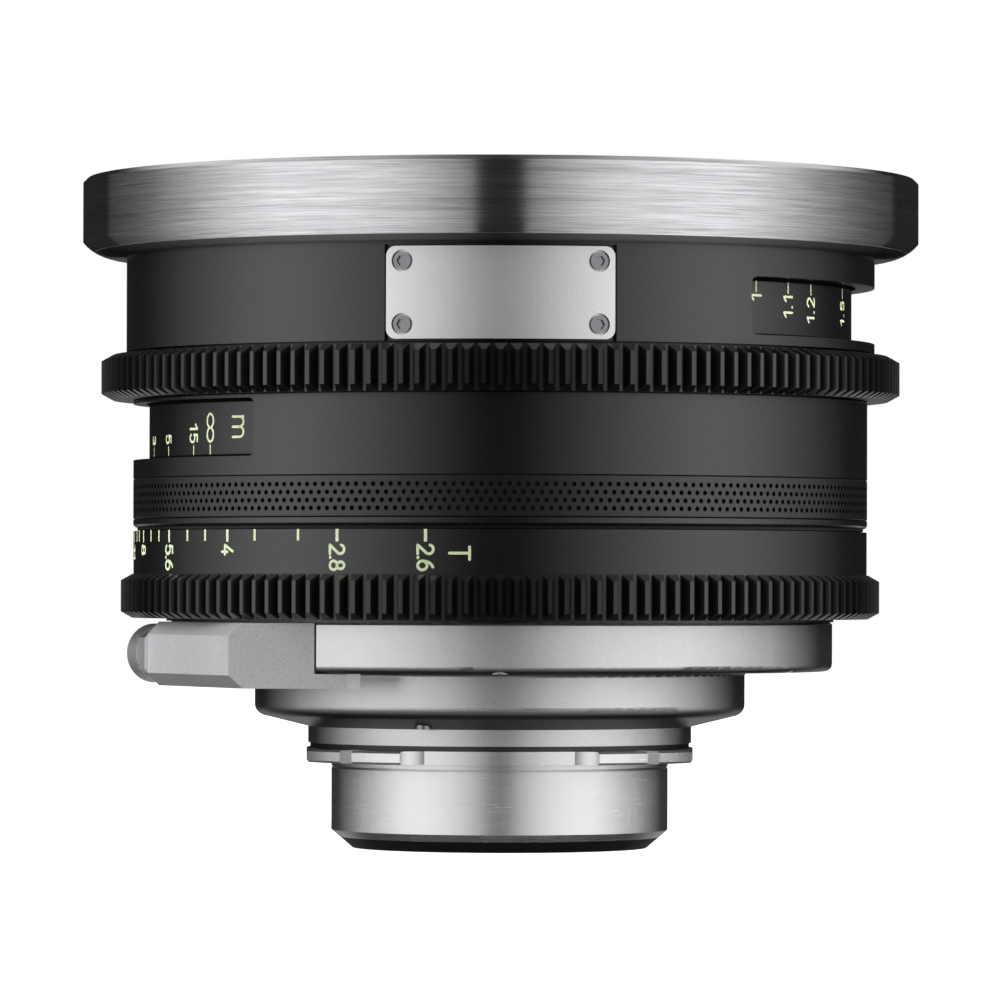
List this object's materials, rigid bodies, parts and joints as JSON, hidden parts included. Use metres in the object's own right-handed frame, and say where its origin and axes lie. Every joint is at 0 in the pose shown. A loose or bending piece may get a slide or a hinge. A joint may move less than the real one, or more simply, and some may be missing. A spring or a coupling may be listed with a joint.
{
  "type": "cinema prime lens",
  "caption": "Wide cine prime lens with toothed focus and iris rings, scale windows, four-tab positive-lock mount and a data socket.",
  "frame": {"origin": "centre of the mount's seat face, on the optical axis", "axes": "+Z along the optical axis towards the subject, -Y towards the side with the nameplate, +X to the right when the nameplate faces the viewer"},
  "size_m": [0.134, 0.134, 0.1068],
  "materials": {
    "black_anodised": "satin black anodised",
    "grip_black": "satin black anodised, dimpled",
    "scale_black": "matt black anodised",
    "baffle_black": "matt black",
    "blasted_aluminium": "bead blasted",
    "mount_metal": "fine turned",
    "socket_metal": "satin plated",
    "shim_steel": "plain",
    "screw_steel": "plain",
    "brass": "plain",
    "hard_steel": "ground",
    "blade_steel": "blackened",
    "optical_glass": "coated",
    "insulator": "moulded",
    "contact_gold": "gold plated"
  },
  "bodies": {
    "lens_body": {"base_lock_screw": "screw_steel", "body_screws": "screw_steel", "connector_housing": "blasted_aluminium", "core_barrel": "black_anodised", "doublet_retainer": "baffle_black", "focus_stop_pins": "hard_steel", "front_barrel": "baffle_black", "front_element": "optical_glass", "front_retainer": "baffle_black", "front_ring": "black_anodised", "grip_band": "grip_black", "hood_baffle": "baffle_black", "iris_cover_plate": "baffle_black", "iris_housing": "baffle_black", "lower_cover": "black_anodised", "mount_base": "blasted_aluminium", "mount_flange": "mount_metal", "mount_screws": "screw_steel", "nameplate": "blasted_aluminium", "nameplate_screws": "screw_steel", "rear_baffle": "baffle_black", "rear_doublet_front": "optical_glass", "rear_doublet_rear": "optical_glass", "rear_element_back": "optical_glass", "rear_element_front": "optical_glass", "rear_lens_cell": "baffle_black", "rear_retainer": "baffle_black", "rear_spacer": "baffle_black", "second_element": "optical_glass", "shims": "shim_steel", "socket_contacts": "contact_gold", "socket_insert": "insulator", "socket_nut": "socket_metal", "socket_shell": "socket_metal", "third_element": "optical_glass", "thrust_rings": "brass", "upper_cover": "black_anodised"},
    "focus_ring": {"focus_gear_ring": "black_anodised", "scale_drum": "scale_black", "helicoid_ring": "brass", "drum_screws": "screw_steel", "focus_stop_block": "hard_steel"},
    "focus_group": {"helicoid_sleeve": "brass", "drive_pins": "hard_steel", "focusing_cell": "baffle_black", "focus_element_front": "optical_glass", "focus_element_rear": "optical_glass", "focus_retainers": "baffle_black"},
    "iris_control": {"iris_ring": "black_anodised", "iris_cam_ring": "brass", "iris_drive_pin": "hard_steel"},
    "body_iris_blade_1": {"iris_blade_1": "blade_steel"},
    "body_iris_blade_2": {"iris_blade_2": "blade_steel"},
    "body_iris_blade_3": {"iris_blade_3": "blade_steel"},
    "body_iris_blade_4": {"iris_blade_4": "blade_steel"},
    "body_iris_blade_5": {"iris_blade_5": "blade_steel"},
    "body_iris_blade_6": {"iris_blade_6": "blade_steel"},
    "body_iris_blade_7": {"iris_blade_7": "blade_steel"},
    "body_iris_blade_8": {"iris_blade_8": "blade_steel"},
    "body_iris_blade_9": {"iris_blade_9": "blade_steel"}
  },
  "joints": [
    {"name": "focus", "type": "hinge", "parent": "lens_body", "child": "focus_ring", "pos_m": [0, 0, 0.061], "axis": [0, 0, 1], "range_deg": [-37, 163]},
    {"name": "focus_travel", "type": "slide", "parent": "lens_body", "child": "focus_group", "axis": [0, 0, 1], "range_m": [-0.00075, 0.00327]},
    {"name": "iris", "type": "hinge", "parent": "lens_body", "child": "iris_control", "pos_m": [0, 0, 0.029], "axis": [0, 0, 1], "range_deg": [-78.9, 6]},
    {"name": "blade_1_swing", "type": "hinge", "parent": "lens_body", "child": "body_iris_blade_1", "pos_m": [0.019, 0, 0.0271], "axis": [0, 0, 1], "range_deg": [-30.64, 2.33]},
    {"name": "blade_2_swing", "type": "hinge", "parent": "lens_body", "child": "body_iris_blade_2", "pos_m": [0.01455, 0.01221, 0.0274], "axis": [0, 0, 1], "range_deg": [-30.64, 2.33]},
    {"name": "blade_3_swing", "type": "hinge", "parent": "lens_body", "child": "body_iris_blade_3", "pos_m": [0.0033, 0.01871, 0.0277], "axis": [0, 0, 1], "range_deg": [-30.64, 2.33]},
    {"name": "blade_4_swing", "type": "hinge", "parent": "lens_body", "child": "body_iris_blade_4", "pos_m": [-0.0095, 0.01645, 0.028], "axis": [0, 0, 1], "range_deg": [-30.64, 2.33]},
    {"name": "blade_5_swing", "type": "hinge", "parent": "lens_body", "child": "body_iris_blade_5", "pos_m": [-0.01785, 0.0065, 0.0283], "axis": [0, 0, 1], "range_deg": [-30.64, 2.33]},
    {"name": "blade_6_swing", "type": "hinge", "parent": "lens_body", "child": "body_iris_blade_6", "pos_m": [-0.01785, -0.0065, 0.0286], "axis": [0, 0, 1], "range_deg": [-30.64, 2.33]},
    {"name": "blade_7_swing", "type": "hinge", "parent": "lens_body", "child": "body_iris_blade_7", "pos_m": [-0.0095, -0.01645, 0.0289], "axis": [0, 0, 1], "range_deg": [-30.64, 2.33]},
    {"name": "blade_8_swing", "type": "hinge", "parent": "lens_body", "child": "body_iris_blade_8", "pos_m": [0.0033, -0.01871, 0.0292], "axis": [0, 0, 1], "range_deg": [-30.64, 2.33]},
    {"name": "blade_9_swing", "type": "hinge", "parent": "lens_body", "child": "body_iris_blade_9", "pos_m": [0.01455, -0.01221, 0.0295], "axis": [0, 0, 1], "range_deg": [-30.64, 2.33]}
  ],
  "couplings": [
    {"joint": "focus_travel", "follows": "focus", "m_per_rad": 0.0011459},
    {"joint": "blade_1_swing", "follows": "iris", "ratio": 0.38823},
    {"joint": "blade_2_swing", "follows": "iris", "ratio": 0.38823},
    {"joint": "blade_3_swing", "follows": "iris", "ratio": 0.38823},
    {"joint": "blade_4_swing", "follows": "iris", "ratio": 0.38823},
    {"joint": "blade_5_swing", "follows": "iris", "ratio": 0.38823},
    {"joint": "blade_6_swing", "follows": "iris", "ratio": 0.38823},
    {"joint": "blade_7_swing", "follows": "iris", "ratio": 0.38823},
    {"joint": "blade_8_swing", "follows": "iris", "ratio": 0.38823},
    {"joint": "blade_9_swing", "follows": "iris", "ratio": 0.38823}
  ]
}
